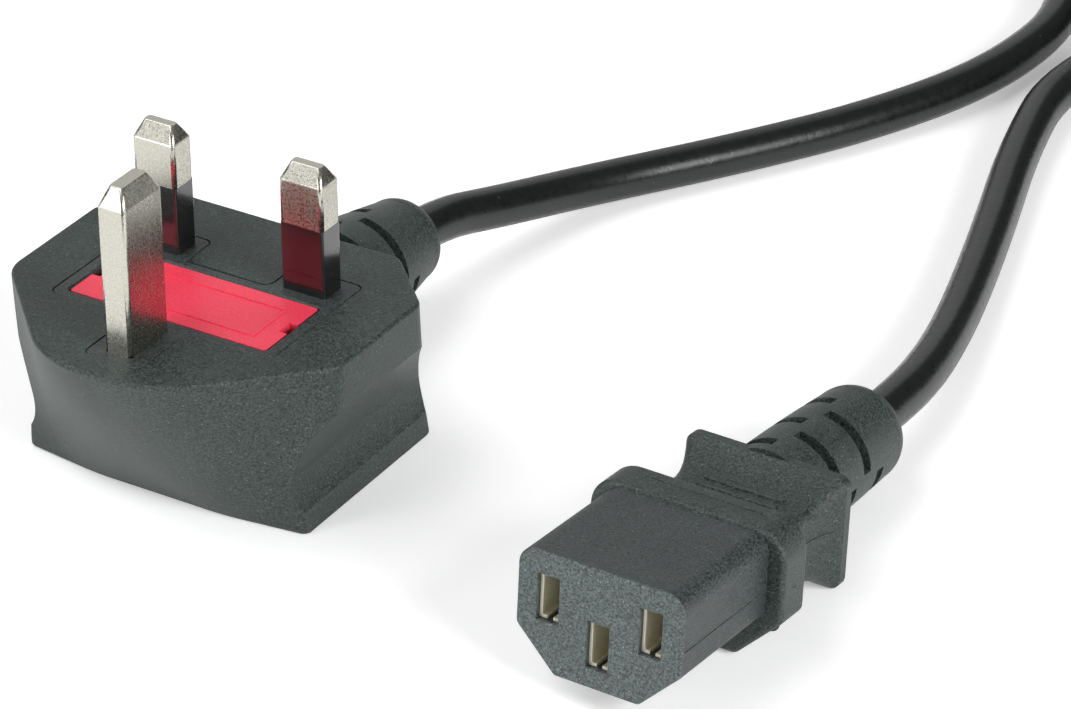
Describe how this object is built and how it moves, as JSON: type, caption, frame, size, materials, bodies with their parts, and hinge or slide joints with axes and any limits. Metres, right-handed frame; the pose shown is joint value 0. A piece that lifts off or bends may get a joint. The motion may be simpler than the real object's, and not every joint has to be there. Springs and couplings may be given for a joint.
{
  "type": "uk three pin plug",
  "caption": "Moulded three pin mains plug with a pull-out fuse carrier, on a coiled round flex that ends in a flat appliance connector.",
  "frame": {"origin": "on the plug's flat back, straight below the middle of the line and neutral pins", "axes": "+Z out of the face along the pins, +Y towards the cord, -Y towards the earth pin, +X towards the line pin"},
  "size_m": [0.132, 0.2914, 0.0467],
  "materials": {
    "soft_moulding": "fine grain",
    "hard_insert": "fine grain",
    "pin_metal": "polished nickel",
    "sleeve_plastic": "gloss",
    "red_plastic": "satin",
    "ceramic": "glazed ceramic",
    "cap_metal": "nickel",
    "contact_brass": "stamped",
    "core_brown": "matt",
    "core_blue": "matt",
    "core_green": "matt, with a yellow stripe",
    "cord_sheath": "smooth satin"
  },
  "bodies": {
    "plug": {"plug_body": "soft_moulding", "inner_bridge": "hard_insert", "earth_pin": "pin_metal", "line_pin": "pin_metal", "neutral_pin": "pin_metal", "line_pin_sleeve": "sleeve_plastic", "neutral_pin_sleeve": "sleeve_plastic", "pin_fuse_clip": "contact_brass", "lead_fuse_clip": "contact_brass", "neutral_terminal": "contact_brass", "earth_terminal": "contact_brass", "plug_core_brown": "core_brown", "plug_core_blue": "core_blue", "plug_core_green_yellow": "core_green", "plug_sheath_end": "cord_sheath", "cord_plug_side": "cord_sheath", "cord_coil": "cord_sheath", "cord_connector_side": "cord_sheath", "connector_sheath_end": "cord_sheath", "connector_body": "soft_moulding", "contact_block": "hard_insert", "line_contact": "contact_brass", "neutral_contact": "contact_brass", "earth_contact": "contact_brass", "connector_core_line": "core_brown", "connector_core_neutral": "core_blue", "connector_core_earth": "core_green"},
    "fuse_drawer": {"fuse_carrier": "red_plastic", "fuse_tube": "ceramic", "fuse_cap_right": "cap_metal", "fuse_cap_left": "cap_metal"}
  },
  "joints": [
    {"name": "fuse_carrier_slide", "type": "slide", "parent": "plug", "child": "fuse_drawer", "axis": [0, 0, 1], "range_m": [0, 0.012]}
  ]
}
